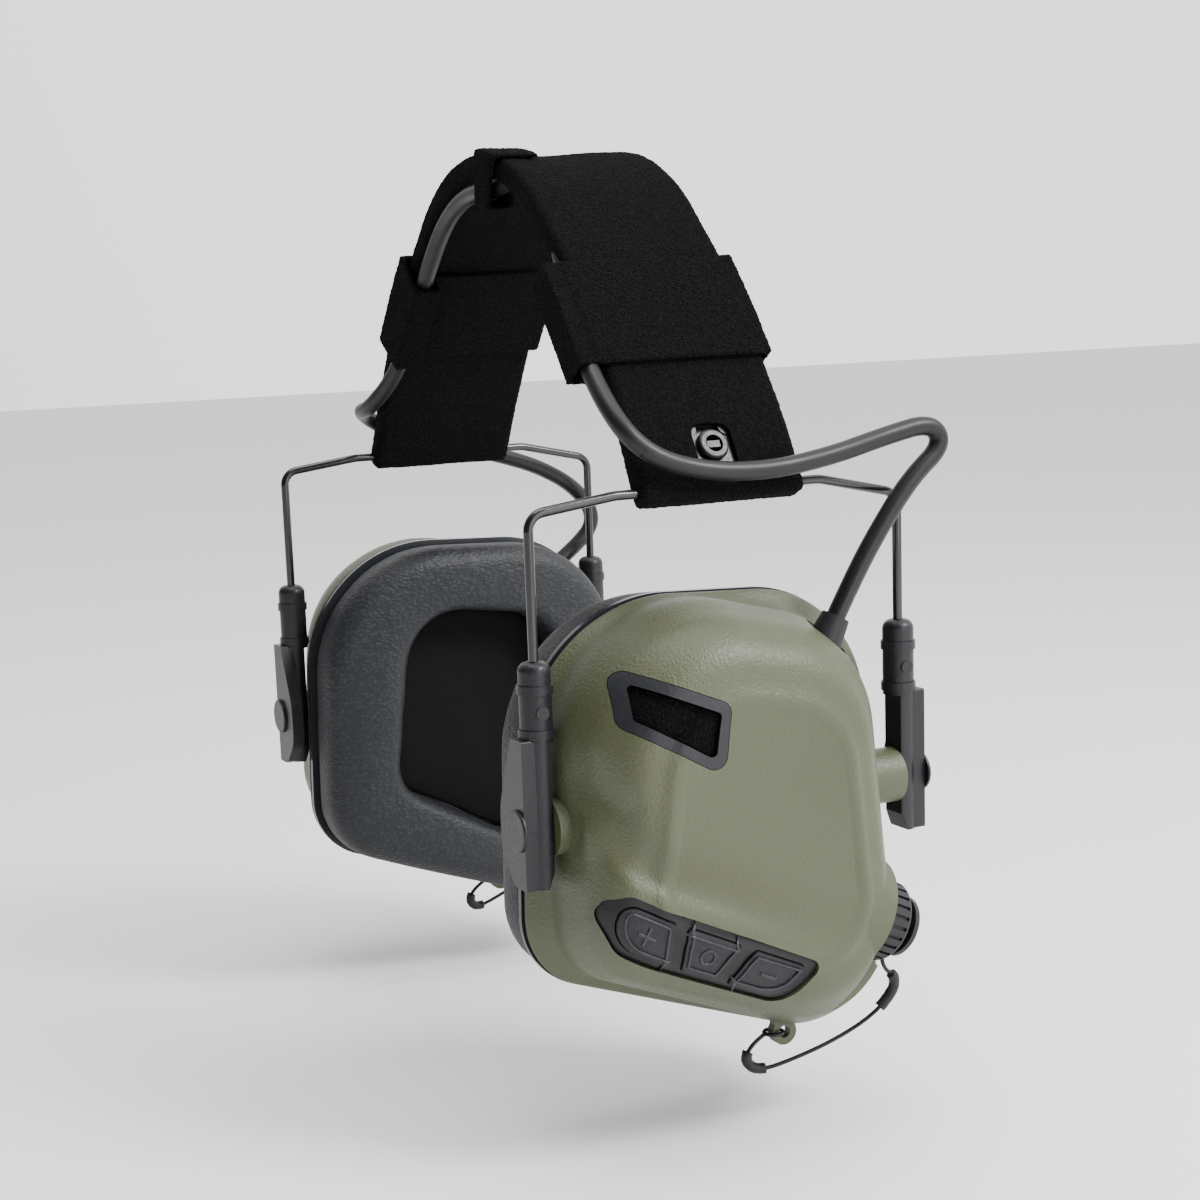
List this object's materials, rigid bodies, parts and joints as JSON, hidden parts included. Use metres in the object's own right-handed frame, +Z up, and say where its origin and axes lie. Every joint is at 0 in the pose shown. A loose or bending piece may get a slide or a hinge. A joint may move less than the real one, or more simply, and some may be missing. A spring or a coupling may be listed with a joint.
{
  "type": "over-ear hearing protector headset",
  "caption": "Electronic over-ear hearing protector: olive cups on black wire yokes under a padded textile headband, with a lead between the cups and push buttons.",
  "frame": {"origin": "underside of the headband at its crown, on the midplane, where the head carries the set", "axes": "+X to the wearer's left, -Y to the front, +Z up; the set is drawn as worn"},
  "size_m": [0.208, 0.11, 0.2161],
  "materials": {
    "headband_textile": "matte",
    "pad_foam": "matte",
    "spring_steel": "satin",
    "strap_textile": "matte",
    "cable_sheath": "satin",
    "black_wire": "gloss",
    "clamp_plastic": "gloss",
    "black_plastic": "matte",
    "olive_shell": "matte",
    "plate_plastic": "satin",
    "cushion_leather": "matte",
    "liner_fabric": "matte",
    "speaker_plastic": "matte",
    "board": "gloss",
    "bezel_plastic": "matte",
    "wind_foam": "matte",
    "mic_metal": "satin",
    "tube_plastic": "matte",
    "cell_wrap": "gloss",
    "cap_plastic": "matte",
    "tether_coat": "satin",
    "shrink_sleeve": "matte",
    "gland_rubber": "matte",
    "screw_steel": "satin",
    "panel_rubber": "matte",
    "switch_plastic": "matte",
    "button_rubber": "matte"
  },
  "bodies": {
    "headband": {"headband_cover": "headband_textile", "headband_pad": "pad_foam", "spring_strap": "spring_steel", "strap_rivets": "screw_steel", "crown_cable_loop": "strap_textile", "left_cable_loop": "strap_textile", "right_cable_loop": "strap_textile", "cup_cable": "cable_sheath", "left_wire_clamp": "clamp_plastic", "right_wire_clamp": "clamp_plastic"},
    "left_yoke": {"left_yoke_wire": "black_wire"},
    "left_arms": {"left_front_arm": "black_plastic", "left_rear_arm": "black_plastic", "left_front_pivot_pin": "black_plastic", "left_rear_pivot_pin": "black_plastic"},
    "left_cup": {"left_outer_shell": "olive_shell", "left_base_plate": "plate_plastic", "left_ear_cushion": "cushion_leather", "left_ear_liner": "liner_fabric", "left_speaker": "speaker_plastic", "left_circuit_board": "board", "left_mic_frame": "bezel_plastic", "left_mic_foam": "wind_foam", "left_mic_capsule": "mic_metal", "left_battery_tube": "tube_plastic", "left_battery": "cell_wrap", "left_tether_wire": "tether_coat", "left_tether_sleeves": "shrink_sleeve", "left_cable_gland": "gland_rubber", "left_plate_screws": "screw_steel", "left_key_panel": "panel_rubber", "left_key_switches": "switch_plastic"},
    "left_cap": {"left_battery_cap": "cap_plastic"},
    "right_yoke": {"right_yoke_wire": "black_wire"},
    "right_arms": {"right_front_arm": "black_plastic", "right_rear_arm": "black_plastic", "right_front_pivot_pin": "black_plastic", "right_rear_pivot_pin": "black_plastic"},
    "right_cup": {"right_outer_shell": "olive_shell", "right_base_plate": "plate_plastic", "right_ear_cushion": "cushion_leather", "right_ear_liner": "liner_fabric", "right_speaker": "speaker_plastic", "right_circuit_board": "board", "right_mic_frame": "bezel_plastic", "right_mic_foam": "wind_foam", "right_mic_capsule": "mic_metal", "right_battery_tube": "tube_plastic", "right_battery": "cell_wrap", "right_tether_wire": "tether_coat", "right_tether_sleeves": "shrink_sleeve", "right_cable_gland": "gland_rubber", "right_plate_screws": "screw_steel"},
    "right_cap": {"right_battery_cap": "cap_plastic"},
    "left_button_plus_key": {"left_button_plus": "button_rubber"},
    "left_button_power_key": {"left_button_power": "button_rubber"},
    "left_button_minus_key": {"left_button_minus": "button_rubber"}
  },
  "joints": [
    {"name": "left_yoke_swing", "type": "hinge", "parent": "headband", "child": "left_yoke", "pos_m": [0.0805, 0, -0.0715], "axis": [0, -1, 0], "range_deg": [-10, 25], "deforming": ["cup_cable"]},
    {"name": "left_arm_slide", "type": "slide", "parent": "left_yoke", "child": "left_arms", "axis": [0, 0, 1], "range_m": [-0.01, 0.012], "deforming": ["cup_cable"]},
    {"name": "left_cup_tilt", "type": "hinge", "parent": "left_arms", "child": "left_cup", "pos_m": [0.0805, 0, -0.1425], "axis": [0, 1, 0], "range_deg": [-15, 7.5], "deforming": ["cup_cable"]},
    {"name": "left_battery_cap_turn", "type": "hinge", "parent": "left_cup", "child": "left_cap", "pos_m": [0.09, 0.0288, -0.1714], "axis": [0, 0.9063, -0.4226], "continuous": true},
    {"name": "right_yoke_swing", "type": "hinge", "parent": "headband", "child": "right_yoke", "pos_m": [-0.0805, 0, -0.0715], "axis": [0, 1, 0], "range_deg": [-10, 25], "deforming": ["cup_cable"]},
    {"name": "right_arm_slide", "type": "slide", "parent": "right_yoke", "child": "right_arms", "axis": [0, 0, 1], "range_m": [-0.01, 0.012], "deforming": ["cup_cable"]},
    {"name": "right_cup_tilt", "type": "hinge", "parent": "right_arms", "child": "right_cup", "pos_m": [-0.0805, 0, -0.1425], "axis": [0, -1, 0], "range_deg": [-15, 7.5], "deforming": ["cup_cable"]},
    {"name": "right_battery_cap_turn", "type": "hinge", "parent": "right_cup", "child": "right_cap", "pos_m": [-0.09, 0.0288, -0.1714], "axis": [0, 0.9063, -0.4226], "continuous": true},
    {"name": "left_plus_press", "type": "slide", "parent": "left_cup", "child": "left_button_plus_key", "axis": [-0.9659, 0.1094, 0.2346], "range_m": [0, 0.0008], "stiffness_N_per_m": 500, "springref_m": -0.0006},
    {"name": "left_power_press", "type": "slide", "parent": "left_cup", "child": "left_button_power_key", "axis": [-0.9659, 0.1094, 0.2346], "range_m": [0, 0.0008], "stiffness_N_per_m": 500, "springref_m": -0.0006},
    {"name": "left_minus_press", "type": "slide", "parent": "left_cup", "child": "left_button_minus_key", "axis": [-0.9659, 0.1094, 0.2346], "range_m": [0, 0.0008], "stiffness_N_per_m": 500, "springref_m": -0.0006}
  ]
}
